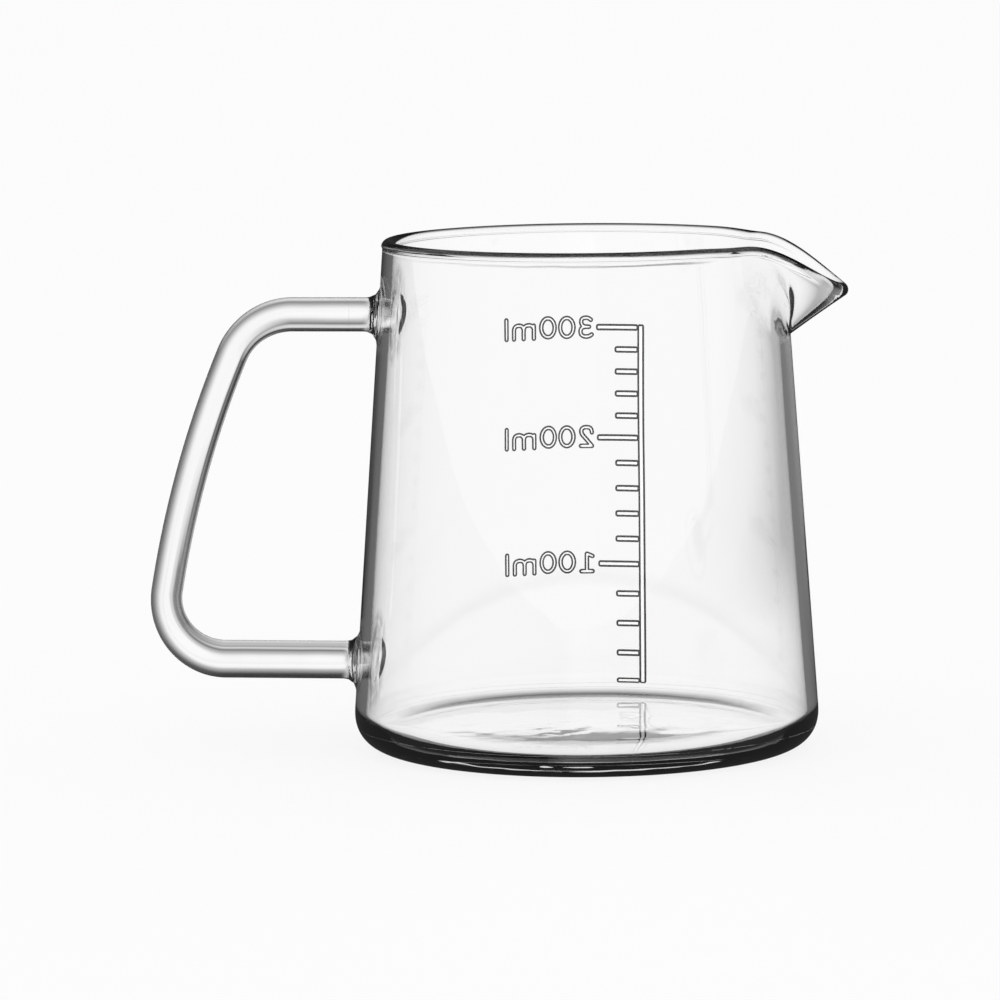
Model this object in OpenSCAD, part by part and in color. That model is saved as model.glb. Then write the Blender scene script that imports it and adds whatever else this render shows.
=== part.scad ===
// Glass measuring jug: a tapered vessel with a pulled pouring spout, a bent rod handle
// fused to its wall, and a graduated scale fired onto the outside.
// The vessel stands on the plane z = 0 with its axis on the Z axis.
// The spout points along +X, the handle along -X, and the scale faces +Y.

/* [Vessel] */
// Height from the table to the top of the rim
jug_h = 93.5; // [86:0.5:104]
// Outside diameter of the side wall, carried down to the table
foot_d = 86.3; // [80:0.1:94]
// Outside diameter of the side wall at the rim
rim_d = 73.1; // [68:0.1:80]
// Thickness of the side wall
wall = 2.1; // [1.6:0.1:2.8]
// Thickness of the glass base
base_t = 3.3; // [2.4:0.1:5]
// Rise of the base's upper face towards its centre
floor_crown = 0.5; // [0.1:0.1:1]
// Width of the rounded heel, measured inwards from the wall
heel_w = 7.2; // [4:0.1:10]
// Height of the rounded heel
heel_h = 7.25; // [4:0.05:10]
// Radius of the inside corner between wall and base
inner_heel_r = 4.2; // [2.5:0.1:7]
// Thickness of the fire-polished rim
rim_bead_d = 2.3; // [1.8:0.1:3.2]

/* [Spout] */
// How far the spout's lip stands out from the rim
spout_reach = 11.5; // [6:0.1:15]
// How far the lip drops below the rim at the tip
spout_drop = 8.2; // [4:0.1:11]
// Depth below the rim at which the spout leaves the wall
spout_depth = 17.1; // [14:0.1:24]
// Angle at the axis from the spout's centre line to where the rim is round again
spout_half_angle = 32; // [24:1:42]
// How far the rim is drawn in on either side of the spout
rim_pinch = 0.45; // [0.1:0.05:1]
// Thickness of the lip at the tip
tip_bead_d = 2.6; // [2:0.1:3.6]
// Size of the bend where the spout leaves the wall
spout_crease = 1.1; // [0.8:0.1:1.6]
// Depth below the rim of that bend at the sides of the spout
crease_side_depth = 5.8; // [5:0.1:8]

/* [Handle] */
// Height of the upper arm's centre line
arm_top_z = 79.4; // [72:0.1:81]
// Height of the lower arm's centre line
arm_low_z = 15.3; // [13:0.1:20]
// Length of the upper arm from the wall to the first bend
top_arm_l = 16.2; // [12:0.1:24]
// Centre-line radius of the upper bend
top_bend_r = 12.4; // [8:0.1:16]
// Centre-line radius of the lower bend
low_bend_r = 11; // [8:0.1:14]
// Angle that the upper bend turns through
top_bend_angle = 67; // [60:1:74]
// Angle that the bowed leg turns through
leg_bow_angle = 13.4; // [6:0.1:18]
// Diameter of the rod along the upper arm
top_rod_d = 6.3; // [5:0.1:7.5]
// Diameter of the rod along the leg
leg_rod_d = 5.8; // [5:0.1:7.5]
// Diameter of the rod along the lower arm
low_rod_d = 7; // [5:0.1:8]
// Reach of the fused flares along the arms
weld_reach = 3.2; // [2:0.1:4.5]
// Height of the flares above the rod on the hand's side
weld_inner_h = 3.6; // [2:0.1:4.5]
// Height of the flares above the rod on the outer side
weld_outer_h = 2.2; // [1.2:0.1:3]

/* [Scale] */
// Height of the lowest mark's centre
first_mark_z = 5.3; // [5:0.1:8]
// Spacing of the marks in the lower part, up to the first long mark
low_pitch = 5.71; // [5.2:0.01:6]
// Spacing of the marks between the first and second long marks
mid_pitch = 4.88; // [4.4:0.01:5.2]
// Spacing of the marks between the second and third long marks
top_pitch = 4.23; // [3.8:0.01:4.5]
// Distance of the upright bar's centre from the middle of the face, towards the spout
bar_x = 7; // [5:0.1:9]
// Width of the upright bar over its outline
bar_w = 0.96; // [0.8:0.02:1.4]
// Height of a mark over its outline
mark_h = 1.16; // [0.9:0.02:1.5]
// Length of a long mark from the bar
long_mark_l = 7.8; // [6:0.1:9]
// Length of a short mark from the bar
short_mark_l = 4.5; // [3:0.1:5.5]
// Width of the dark outline
outline_w = 0.2; // [0.14:0.02:0.3]
// Thickness of the fired enamel
enamel_t = 0.1; // [0.08:0.01:0.2]

/* [Hidden] */
// Counts of facets
spout_steps = 30;
round_steps = 60;
heel_steps = 7;
inner_heel_steps = 5;
crease_steps = 4;
bead_steps = 8;
rod_sides = 24;
weld_steps = 6;
top_bend_steps = 9;
leg_steps = 6;
low_bend_steps = 13;
// Shape of the heel's curve: 2 is an ellipse, more is squarer
heel_power = 2.23;
// Shape of the lip in plan and in height, and of the spout's lower edge
beak_power = 1.5;
lip_fall_power = 1.35;
crease_power = 1.2;
// Reach of the drawn-in rim on either side of the spout's edge, as a share of its half angle
pinch_span_share = 0.47;
// Levels between the heel and the spout's bend, and along the spout's wall
wall_level_shares = [0.35, 0.7];
spout_level_shares = [0.33, 0.67];
floor_ring_shares = [0.92, 0.6, 0.3];
cap_ring_share = 0.5;
// Marks in each band of the scale
low_marks = 4;
band_marks = 5;
// Depth ground off the foot to make it flat
grind_depth = 0.1;
// Overrun of cutting shapes
overrun = 1;

foot_r = foot_d/2;
rim_r = rim_d/2;
half_wall = wall/2;
lean = atan2(foot_r - rim_r, jug_h);
rim_z = jug_h - rim_bead_d/2;

// Radius of the wall's outside, middle and inside at a height
function outer_r(z) = foot_r - (foot_r - rim_r)*z/jug_h;
function middle_r(z) = outer_r(z) - half_wall/cos(lean);
function inner_r(z) = outer_r(z) - wall/cos(lean);

// Unit vector from one profile point to another, and its outward normal
function along(a, b) = (b - a)/norm(b - a);
function outward(d) = [d[1], -d[0]];
up_wall = [-sin(lean), cos(lean)];

// The spout, as functions of the angle from its centre line
function spout_share(a) = min(abs(a), 360 - abs(a))/spout_half_angle;
function spread(a) = min(spout_share(a), 1);
function swell(a) = pow(1 - pow(spread(a), beak_power), 2);
function fall(a) = pow((1 + cos(180*spread(a)))/2, lip_fall_power);
function pinch(a) = pow(cos(90*min(abs(spout_share(a) - 1)/pinch_span_share, 1)), 2);
function lip(a) =
    [middle_r(rim_z) + spout_reach*swell(a) - rim_pinch*pinch(a), rim_z - spout_drop*fall(a)];
function crease_z(a) = jug_h - crease_side_depth
    - (spout_depth - crease_side_depth)*(1 - pow(spread(a), crease_power));
function crease(a) = [middle_r(crease_z(a)), crease_z(a)];
function lip_half(a) = rim_bead_d/2 + (tip_bead_d - rim_bead_d)/2*swell(a);

// Quadratic curve through the bend where the spout leaves the wall
function bend_point(c, d1, d2, t) =
    c - d1*spout_crease*pow(1 - t, 2) + d2*spout_crease*pow(t, 2);
function bend_heading(d1, d2, t) = along([0, 0], d1*(1 - t) + d2*t);

// Middle line of the upper wall as [point, outward normal, half thickness]
function upper_line(a) = let (
        c = crease(a),
        l = lip(a),
        d2 = along(c, l),
        start = c + d2*spout_crease
    ) [
        for (k = [0:crease_steps]) let (t = k/crease_steps)
            [bend_point(c, up_wall, d2, t), outward(bend_heading(up_wall, d2, t)), half_wall],
        for (s = spout_level_shares)
            [start + (l - start)*s, outward(d2), half_wall + (lip_half(a) - half_wall)*s*s]
    ];

// Point of the rounded heel, from the flat foot at step 0 to the wall at the last step
function heel(k) = let (
        t = 90*k/heel_steps,
        z = heel_h*(1 - pow(cos(t), 2/heel_power))
    ) [outer_r(z) - heel_w*(1 - pow(sin(t), 2/heel_power)), z];

// Profile of the glass at one angle, from the base's underside over the lip to the base's top
function profile(a) = let (
        upper = upper_line(a),
        l = lip(a),
        d2 = along(crease(a), l),
        n2 = outward(d2),
        wall_top_z = upper[0][0][1],
        last = len(upper) - 1,
        floor_r = inner_r(base_t + inner_heel_r) - inner_heel_r
    ) [
        heel(0) - (heel(1) - heel(0))*grind_depth/heel(1)[1],
        for (k = [1:heel_steps]) heel(k),
        for (s = wall_level_shares) let (z = heel_h + (wall_top_z - heel_h)*s) [outer_r(z), z],
        for (u = upper) u[0] + u[1]*u[2],
        for (k = [0:bead_steps]) let (t = 180*k/bead_steps)
            l + (n2*cos(t) + d2*sin(t))*lip_half(a),
        for (k = [last:-1:0]) upper[k][0] - upper[k][1]*upper[k][2],
        for (k = [len(wall_level_shares) - 1:-1:0]) let (
                z = heel_h + (wall_top_z - heel_h)*wall_level_shares[k]
            ) [inner_r(z), z],
        for (k = [inner_heel_steps:-1:0]) let (
                t = 90*k/inner_heel_steps,
                z = base_t + inner_heel_r*(1 - cos(t))
            ) [inner_r(z) - inner_heel_r*(1 - sin(t)), z],
        for (s = floor_ring_shares) [floor_r*s, base_t + floor_crown*pow(cos(90*s), 2)]
    ];

// Angles of the profiles, closer together across the spout
stations = [
    for (k = [0:spout_steps - 1]) spout_half_angle*(2*k/spout_steps - 1),
    for (k = [0:round_steps - 1])
        spout_half_angle + (360 - 2*spout_half_angle)*k/round_steps
];

// Two triangles between neighbouring points of two neighbouring rows
function quad(a, b, c, d) = [[a, b, c], [a, c, d]];
function flatten(list) = [for (part = list) for (item = part) item];

// Blown and pressed body: thick base, tapered wall, rolled rim and pulled spout
module vessel() {
    rows = [for (a = stations) profile(a)];
    n = len(stations);
    m = len(rows[0]);
    points = [
        for (i = [0:n - 1]) for (p = rows[i])
            [p[0]*cos(stations[i]), p[0]*sin(stations[i]), p[1]],
        [0, 0, -grind_depth],
        [0, 0, base_t + floor_crown]
    ];
    sides = flatten([
        for (i = [0:n - 1]) for (k = [0:m - 2]) let (j = (i + 1)%n)
            quad(i*m + k, i*m + k + 1, j*m + k + 1, j*m + k)
    ]);
    ends = flatten([
        for (i = [0:n - 1]) let (j = (i + 1)%n)
            [[n*m, i*m, j*m], [n*m + 1, j*m + m - 1, i*m + m - 1]]
    ]);
    color([0.86, 0.9, 0.91, 0.45])
        difference() {
            polyhedron(points = points, faces = concat(sides, ends), convexity = 6);
            translate([0, 0, -overrun])
                cylinder(h = overrun, r = foot_r);
        }
}

// Heading of the rod in the XZ plane: 180 along the upper arm, 360 along the lower arm
leg_start = 180 + top_bend_angle;
leg_end = leg_start + leg_bow_angle;
leg_r = (arm_top_z - arm_low_z - top_bend_r*(1 - cos(top_bend_angle)) - low_bend_r*(1 - cos(leg_end)))
    / (cos(leg_end) - cos(leg_start));
bend_start = [-outer_r(arm_top_z) - top_arm_l, arm_top_z];
function turned(p, r, h1, h2) = p + r*[sin(h2) - sin(h1), cos(h1) - cos(h2)];
leg_top = turned(bend_start, top_bend_r, 180, leg_start);
leg_foot = turned(leg_top, leg_r, leg_start, leg_end);

// Rod diameter changes smoothly through the bends
function ease(t) = (1 - cos(180*t))/2;
function top_bend_d(t) = top_rod_d + (leg_rod_d - top_rod_d)*ease(t);
function low_bend_d(t) = leg_rod_d + (low_rod_d - leg_rod_d)*ease(t);

// Rings of the rod as [centre, heading, diameter], from one arm to the other
rod_rings = [
    for (k = [0:top_bend_steps]) let (t = k/top_bend_steps, h = 180 + top_bend_angle*t)
        [turned(bend_start, top_bend_r, 180, h), h, top_bend_d(t)],
    for (k = [1:leg_steps]) let (h = leg_start + leg_bow_angle*k/leg_steps)
        [turned(leg_top, leg_r, leg_start, h), h, leg_rod_d],
    for (k = [1:low_bend_steps]) let (t = k/low_bend_steps, h = leg_end + (360 - leg_end)*t)
        [turned(leg_foot, low_bend_r, leg_end, h), h, low_bend_d(t)]
];
function ring(c, h, d) = [
    for (k = [0:rod_sides - 1]) let (t = 360*k/rod_sides)
        [c[0] - d/2*cos(t)*sin(h), d/2*sin(t), c[1] + d/2*cos(t)*cos(h)]
];

// Point on the vessel's wall on the handle's side
function on_wall(y, z, off) = [-sqrt(pow(outer_r(z), 2) - y*y) - off, y, z];

// Ring of a fused flare: turn 0 lies on the wall and 90 on the rod; side is -1 where the
// hand's side is below the arm
function weld_ring(arm_z, d, side, turn) = [
    for (k = [0:rod_sides - 1]) let (
            t = 360*k/rod_sides,
            h = weld_inner_h + (weld_outer_h - weld_inner_h)*(1 - cos(t))/2,
            r = d/2 + h*(1 - sin(turn))
        ) on_wall(r*sin(t), arm_z + side*r*cos(t), weld_reach*(1 - cos(turn)))
];
function seat_ring(arm_z, d, side, share) = [
    for (k = [0:rod_sides - 1]) let (
            t = 360*k/rod_sides,
            h = weld_inner_h + (weld_outer_h - weld_inner_h)*(1 - cos(t))/2,
            r = (d/2 + h)*share
        ) on_wall(r*sin(t), arm_z + side*r*cos(t), 0)
];

// Bent glass rod with a flare at each end that seats on the wall
module handle() {
    rings = [
        seat_ring(arm_top_z, top_rod_d, -1, cap_ring_share),
        for (k = [0:weld_steps]) weld_ring(arm_top_z, top_rod_d, -1, 90*k/weld_steps),
        for (q = rod_rings) ring(q[0], q[1], q[2]),
        for (k = [weld_steps:-1:0]) weld_ring(arm_low_z, low_rod_d, 1, 90*k/weld_steps),
        seat_ring(arm_low_z, low_rod_d, 1, cap_ring_share)
    ];
    n = len(rings);
    points = concat(flatten(rings), [on_wall(0, arm_top_z, 0), on_wall(0, arm_low_z, 0)]);
    sides = flatten([
        for (i = [0:n - 2]) for (k = [0:rod_sides - 1]) let (j = (k + 1)%rod_sides)
            quad(i*rod_sides + k, i*rod_sides + j, (i + 1)*rod_sides + j, (i + 1)*rod_sides + k)
    ]);
    ends = flatten([
        for (k = [0:rod_sides - 1]) let (j = (k + 1)%rod_sides, foot = (n - 1)*rod_sides)
            [[n*rod_sides, j, k], [n*rod_sides + 1, foot + k, foot + j]]
    ]);
    color([0.84, 0.88, 0.9, 0.6])
        polyhedron(points = points, faces = concat(sides, ends), convexity = 6);
}

// Heights of the long and the short marks
long_mark_zs = [
    first_mark_z + low_marks*low_pitch,
    first_mark_z + low_marks*low_pitch + band_marks*mid_pitch,
    first_mark_z + low_marks*low_pitch + band_marks*(mid_pitch + top_pitch)
];
short_mark_zs = [
    for (k = [0:low_marks - 1]) first_mark_z + low_pitch*k,
    for (k = [1:band_marks - 1]) long_mark_zs[0] + mid_pitch*k,
    for (k = [1:band_marks - 1]) long_mark_zs[1] + top_pitch*k
];
bar_edge = bar_x - bar_w/2;
bar_low_z = first_mark_z - mark_h/2;
bar_top_z = long_mark_zs[2] + mark_h/2;

// One mark, drawn in by a margin on its free sides
module mark_outline(z, l, margin) {
    translate([bar_edge - l + margin, z - mark_h/2 + margin])
        square([l - margin, mark_h - 2*margin]);
}

// The bar and every mark, drawn in by a margin
module scale_shape(margin) {
    translate([bar_edge + margin, bar_low_z + margin])
        square([bar_w - 2*margin, bar_top_z - bar_low_z - 2*margin]);
    for (z = long_mark_zs) mark_outline(z, long_mark_l, margin);
    for (z = short_mark_zs) mark_outline(z, short_mark_l, margin);
}

// Thin layer that follows the wall where a flat shape is laid on the scale's face
module on_face() {
    intersection() {
        difference() {
            cylinder(h = jug_h, r1 = foot_r + enamel_t, r2 = rim_r + enamel_t, $fn = 120);
            translate([0, 0, -overrun])
                cylinder(h = jug_h + 2*overrun, r1 = outer_r(-overrun), r2 = outer_r(jug_h + overrun), $fn = 120);
        }
        rotate([90, 0, 0])
            translate([0, 0, -foot_r - overrun])
                linear_extrude(foot_r + overrun)
                    children();
    }
}

// White enamel of the bar and the marks
module scale_marks() {
    color("white")
        on_face()
            scale_shape(outline_w);
}

// Dark line around the bar and the marks
module scale_outline() {
    color([0.3, 0.3, 0.31])
        on_face()
            difference() {
                scale_shape(0);
                scale_shape(outline_w);
            }
}

vessel();
handle();
scale_marks();
scale_outline();
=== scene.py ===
import math

import bmesh
import bpy
import numpy as np
from mathutils import Matrix, Vector


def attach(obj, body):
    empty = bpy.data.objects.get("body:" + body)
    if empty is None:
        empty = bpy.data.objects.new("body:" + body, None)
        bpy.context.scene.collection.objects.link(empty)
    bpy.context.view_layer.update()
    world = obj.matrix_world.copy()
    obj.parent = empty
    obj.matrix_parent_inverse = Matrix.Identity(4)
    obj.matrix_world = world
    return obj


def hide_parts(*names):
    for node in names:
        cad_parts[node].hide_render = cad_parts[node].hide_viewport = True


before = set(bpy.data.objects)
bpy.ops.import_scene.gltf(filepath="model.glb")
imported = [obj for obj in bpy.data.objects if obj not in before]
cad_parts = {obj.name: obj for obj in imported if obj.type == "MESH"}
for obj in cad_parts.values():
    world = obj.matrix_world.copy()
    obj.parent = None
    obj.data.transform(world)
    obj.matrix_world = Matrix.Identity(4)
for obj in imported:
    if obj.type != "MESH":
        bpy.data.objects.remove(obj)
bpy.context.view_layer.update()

# Camera. A long lens a little above the rim, as for a catalogue picture. The jug stands
# turned by a few degrees, so that its spout comes towards the lens.
VIEW_TURN = math.radians(6.5)
VIEW_DISTANCE = 1.0587
VIEW_SIDE = -0.0156
VIEW_HEIGHT = 0.1754
AIM_HEIGHT = 0.0454
VIEW_ROLL = math.radians(-0.54)
SENSOR_WIDTH = 0.036
PHOTO_WIDTH = 1000
METRES_PER_PIXEL = 0.0001835
CLIP_END = 100

view_drop = math.atan2(VIEW_HEIGHT - AIM_HEIGHT, VIEW_DISTANCE)
camera_data = bpy.data.cameras.new("camera")
camera_data.sensor_width = SENSOR_WIDTH * 1000
camera_data.lens = (
    camera_data.sensor_width * VIEW_DISTANCE / math.cos(view_drop) / METRES_PER_PIXEL / PHOTO_WIDTH
)
camera_data.clip_end = CLIP_END
camera = bpy.data.objects.new("camera", camera_data)
bpy.context.scene.collection.objects.link(camera)
camera.matrix_world = (
    Matrix.Rotation(VIEW_TURN, 4, "Z")
    @ Matrix.Translation((VIEW_SIDE, -VIEW_DISTANCE, VIEW_HEIGHT))
    @ Matrix.Rotation(math.radians(90) - view_drop, 4, "X")
    @ Matrix.Rotation(VIEW_ROLL, 4, "Z")
)
bpy.context.scene.camera = camera

# Vessel. Clear borosilicate glass, blown into a mould and ground flat under its foot. Its rim
# is rolled in the flame, and the spout is pulled out of the soft rim with a rod.
JUG_HEIGHT = 0.0935
FOOT_RADIUS = 0.04315
RIM_RADIUS = 0.03655
WALL = 0.0021
BASE_THICKNESS = 0.0033
FLOOR_CROWN = 0.0005
HEEL_WIDTH = 0.0072
HEEL_HEIGHT = 0.00725
HEEL_POWER = 2.23
INNER_HEEL_RADIUS = 0.0042
RIM_BEAD = 0.0023
BEAD_BULGE = 0.00012
SPOUT_REACH = 0.0115
SPOUT_DROP = 0.0082
SPOUT_DEPTH = 0.0171
SPOUT_HALF_ANGLE = math.radians(32)
RIM_DIP = 0.00025
TIP_BEAD = 0.0026
SPOUT_THINNING = 0.0009
SPOUT_CREASE = 0.0008
FLANK_CREASE = 0.006
FLANK_START = 0.12
FLANK_SPAN = 0.5
CREASE_LIMIT = 0.75
CREASE_SOFTNESS = 0.12
CREASE_SIDE_DEPTH = 0.0058
BEAK_POWER = 1.66
BEAK_TAPER = 2.68
BEAK_SPREAD = 1.12
LIP_FALL_POWER = 1.4
CREASE_POWER = 1.2
DIP_SPAN_SHARE = 0.6
ARM_TOP_Z = 0.0794
ARM_LOW_Z = 0.0153
TOP_ROD = 0.0063
LOW_ROD = 0.007
WELD_INNER_HEIGHT = 0.0043
WELD_OUTER_HEIGHT = 0.004
DIMPLE_HALF_WIDTH = 0.0086
DIMPLE_HALF_HEIGHT = 0.0047
DIMPLE_STEPS = ((1.0, 0.3), (0.66, 0.3))
DIMPLE_DEPTH = 0.0006
# Degrees round the lip, from outside over its top, where its painted dark edges (painted shade) start, are
# full, fade and end, and degrees round the rim from the spout, where the outer edge starts and is full
INNER_EDGE = (85, 97, 118, 142)
OUTER_EDGE = (5, 25, 100, 120)
BESIDE_SPOUT = (8, 20)
INNER_WALL_SHARES = np.concatenate([
    np.linspace(0.01, 0.2, 32), np.linspace(0.23, 0.82, 8), np.linspace(0.825, 0.995, 28),
])

lean = math.atan2(FOOT_RADIUS - RIM_RADIUS, JUG_HEIGHT)
rim_z = JUG_HEIGHT - RIM_BEAD / 2 - BEAD_BULGE


def outer_radius(z):
    return FOOT_RADIUS - (FOOT_RADIUS - RIM_RADIUS) * z / JUG_HEIGHT


def inner_radius(z):
    return outer_radius(z) - WALL / math.cos(lean)


def middle_radius(z):
    return outer_radius(z) - WALL / 2 / math.cos(lean)


def unit(v):
    return v / np.linalg.norm(v)


def outward(d):
    return np.array([d[1], -d[0]])


def lip_swell(angle):
    spread = min(abs(angle) / SPOUT_HALF_ANGLE / BEAK_SPREAD, 1)
    return (1 - spread**BEAK_POWER) ** BEAK_TAPER


def lip_point(angle):
    share = abs(angle) / SPOUT_HALF_ANGLE
    spread = min(share, 1)
    swell = lip_swell(angle)
    fall = ((1 + math.cos(math.pi * spread)) / 2) ** LIP_FALL_POWER
    beside = math.cos(math.pi / 2 * min(abs(share - 1) / DIP_SPAN_SHARE, 1)) ** 2
    point = np.array([
        middle_radius(rim_z) + SPOUT_REACH * swell,
        rim_z - SPOUT_DROP * fall - RIM_DIP * beside,
    ])
    bulge = BEAD_BULGE * (1 - swell)
    return point, RIM_BEAD / 2 + bulge + (TIP_BEAD - RIM_BEAD) / 2 * swell


def eased_step(t):
    t = min(max(t, 0), 1)
    return t * t * (3 - 2 * t)


def window(number, start, full, fading, end):
    left = 1 - eased_step((number - fading) / (end - fading))
    return left * eased_step((number - start) / (full - start))


def dark_edge(angle, turn):
    """Share of the painted dark edge, a painted shade, at one turn round the lip."""
    turn, aside = math.degrees(turn), math.degrees(abs(angle))
    start, full = BESIDE_SPOUT
    outer = window(turn, *OUTER_EDGE) * eased_step((aside - start) / (full - start))
    return max(window(turn, *INNER_EDGE), outer)


def crease_point(angle):
    inside = 1 - min(abs(angle) / SPOUT_HALF_ANGLE, 1) ** CREASE_POWER
    dive = inside * inside * (1 + CREASE_SOFTNESS) / (inside + CREASE_SOFTNESS)
    z = JUG_HEIGHT - CREASE_SIDE_DEPTH - (SPOUT_DEPTH - CREASE_SIDE_DEPTH) * dive
    return np.array([middle_radius(z), z])


def weld_dimple(angle, z):
    """How far the inner wall is sunk where the ends of the handle were fused on."""
    away = math.pi - abs(angle)
    depth = 0.0
    for arm_z in (ARM_TOP_Z, ARM_LOW_Z):
        across = away * inner_radius(z) / DIMPLE_HALF_WIDTH
        along = (z - arm_z) / DIMPLE_HALF_HEIGHT
        for edge, width in DIMPLE_STEPS:
            depth += DIMPLE_DEPTH * eased_step((edge - math.hypot(across, along)) / width)
    return depth


def vessel_profile(angle):
    """Section of the glass at one angle from the spout, from under the foot to the floor's centre,
    with each point's share of the lip's painted dark edge, a painted shade, as its third value. The
    bend into the spout is soft at its flanks and sharp below the beak, where the wall is thinned as well."""
    up = np.array([-math.sin(lean), math.cos(lean)])
    lip, lip_half = lip_point(angle)
    crease = crease_point(angle)
    slope = unit(lip - crease)
    thinning = SPOUT_THINNING * lip_swell(angle)
    spread = min(abs(angle) / SPOUT_HALF_ANGLE, 1)
    bend = SPOUT_CREASE + (FLANK_CREASE - SPOUT_CREASE) * eased_step((spread - FLANK_START) / FLANK_SPAN)
    bend = min(bend, CREASE_LIMIT * np.linalg.norm(lip - crease))
    line = []
    for t in np.linspace(0, 1, 9):
        centre = crease - up * bend * (1 - t) ** 2 + slope * bend * t**2
        normal = outward(unit(up * (1 - t) + slope * t))
        line.append((centre, normal, WALL / 2, WALL / 2 - thinning * t * t))
    start = crease + slope * bend
    swell_power = 2 + 3 * eased_step((spread - 0.4) / 0.6)
    for s in np.concatenate([np.linspace(0.1, 0.7, 7), np.linspace(0.74, 0.985, 9)]):
        half = WALL / 2 + (lip_half - WALL / 2) * s**swell_power
        line.append((start + (lip - start) * s, outward(slope), half, half - thinning * (1 - s**6)))
    points = []
    for share in (0.02, 0.4, 0.7, 0.9, 0.98):
        points.append((share * (FOOT_RADIUS - HEEL_WIDTH), 0, 0))
    for t in np.linspace(0, math.pi / 2, 25):
        z = HEEL_HEIGHT * (1 - math.cos(t) ** (2 / HEEL_POWER))
        points.append((outer_radius(z) - HEEL_WIDTH * (1 - math.sin(t) ** (2 / HEEL_POWER)), z, 0))
    wall_top = line[0][0][1]
    for z in np.linspace(HEEL_HEIGHT, wall_top, 14)[1:-1]:
        points.append((outer_radius(z), z, 0))
    for centre, normal, outer_half, inner_half in line:
        points.append((*(centre + normal * outer_half), 0))
    for t in np.linspace(0, math.pi, 29):
        # Share of the painted shade on the lip at this point
        lip_shade = dark_edge(angle, t)
        points.append((*(lip + (outward(slope) * math.cos(t) + slope * math.sin(t)) * lip_half), lip_shade))
    for centre, normal, outer_half, inner_half in reversed(line):
        points.append((*(centre - normal * inner_half), 0))
    heel_top = BASE_THICKNESS + INNER_HEEL_RADIUS
    for share in INNER_WALL_SHARES:
        z = wall_top + (heel_top - wall_top) * share
        points.append((inner_radius(z) + weld_dimple(angle, z), z, 0))
    for t in np.linspace(math.pi / 2, 0, 19):
        z = BASE_THICKNESS + INNER_HEEL_RADIUS * (1 - math.cos(t))
        points.append((inner_radius(z) - INNER_HEEL_RADIUS * (1 - math.sin(t)), z, 0))
    floor_radius = inner_radius(heel_top) - INNER_HEEL_RADIUS
    for share in np.linspace(1, 0.02, 24)[1:]:
        z = BASE_THICKNESS + FLOOR_CROWN * math.cos(math.pi / 2 * share) ** 2
        points.append((floor_radius * share, z, 0))
    return points


def closed_mesh(name, rings, first, last):
    """Mesh of rings of points joined in order, closed by a point at each end."""
    count = len(rings[0])
    points = [p for ring in rings for p in ring] + [first, last]
    faces = []
    for i in range(len(rings) - 1):
        for k in range(count):
            j = (k + 1) % count
            faces.append((i * count + k, i * count + j, (i + 1) * count + j, (i + 1) * count + k))
    foot = (len(rings) - 1) * count
    for k in range(count):
        j = (k + 1) % count
        faces.append((len(points) - 2, j, k))
        faces.append((len(points) - 1, foot + k, foot + j))
    mesh = bpy.data.meshes.new(name)
    mesh.from_pydata([tuple(p) for p in points], [], faces)
    shell = bmesh.new()
    shell.from_mesh(mesh)
    bmesh.ops.recalc_face_normals(shell, faces=shell.faces)
    shell.to_mesh(mesh)
    shell.free()
    mesh.polygons.foreach_set("use_smooth", [True] * len(mesh.polygons))
    piece = bpy.data.objects.new(name, mesh)
    bpy.context.scene.collection.objects.link(piece)
    return piece


# Sections stand closer together at the spout and at the handle's welds
spout_side = 1.3 * SPOUT_HALF_ANGLE
weld_side = math.radians(18)
angles = np.concatenate([
    np.linspace(-spout_side, spout_side, 140, endpoint=False),
    np.linspace(spout_side, math.pi - weld_side, 84, endpoint=False),
    np.linspace(math.pi - weld_side, math.pi + weld_side, 76, endpoint=False),
    np.linspace(math.pi + weld_side, 2 * math.pi - spout_side, 84, endpoint=False),
])
sections = np.array([
    vessel_profile(a if a <= math.pi else a - 2 * math.pi) for a in angles
])
rings = []
for level in range(sections.shape[1]):
    r, z = sections[:, level, 0], sections[:, level, 1]
    rings.append(np.stack([r * np.cos(angles), r * np.sin(angles), z], axis=1))
vessel = closed_mesh("vessel_glass", rings, (0, 0, 0), (0, 0, BASE_THICKNESS + FLOOR_CROWN))
# Each vertex's share of the painted shade on the lip, kept as a point attribute
lip_shade_share = np.concatenate([sections[:, :, 2].T.ravel(), [0, 0]])
vessel.data.attributes.new("lip_shade", "FLOAT", "POINT").data.foreach_set("value", lip_shade_share)


def math_in(tree):
    """A function that puts a Math node into the tree and returns what it puts out."""

    def value(operation, a, b=0.0):
        node = tree.nodes.new("ShaderNodeMath")
        node.operation = operation
        for socket, item in zip(node.inputs, (a, b)):
            if isinstance(item, (int, float)):
                socket.default_value = item
            else:
                tree.links.new(item, socket)
        return node.outputs[0]

    return value


def node_in(tree, kind, sockets, **settings):
    """A new node of the tree, with its settings made and its sockets set or linked by name."""
    node = tree.nodes.new(kind)
    for name, setting in settings.items():
        setattr(node, name, setting)
    for name, item in sockets.items():
        if isinstance(item, bpy.types.NodeSocket):
            tree.links.new(item, node.inputs[name])
        else:
            node.inputs[name].default_value = item
    return node


def length_of(value, a, b):
    """Length of a pair of numbers, made with a function from math_in."""
    return value("SQRT", value("ADD", value("MULTIPLY", a, a), value("MULTIPLY", b, b)))


def ramp_in(tree, source, stops):
    """Level by a number between 0 and 1, from stops of a number and its level."""
    ramp = tree.nodes.new("ShaderNodeValToRGB")
    tree.links.new(source, ramp.inputs[0])
    elements = ramp.color_ramp.elements
    while len(elements) < len(stops):
        elements.new(0.5)
    for element, (position, level) in zip(elements, stops):
        element.position = position
        element.color = (level, level, level, 1)
    return ramp.outputs[0]


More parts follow.
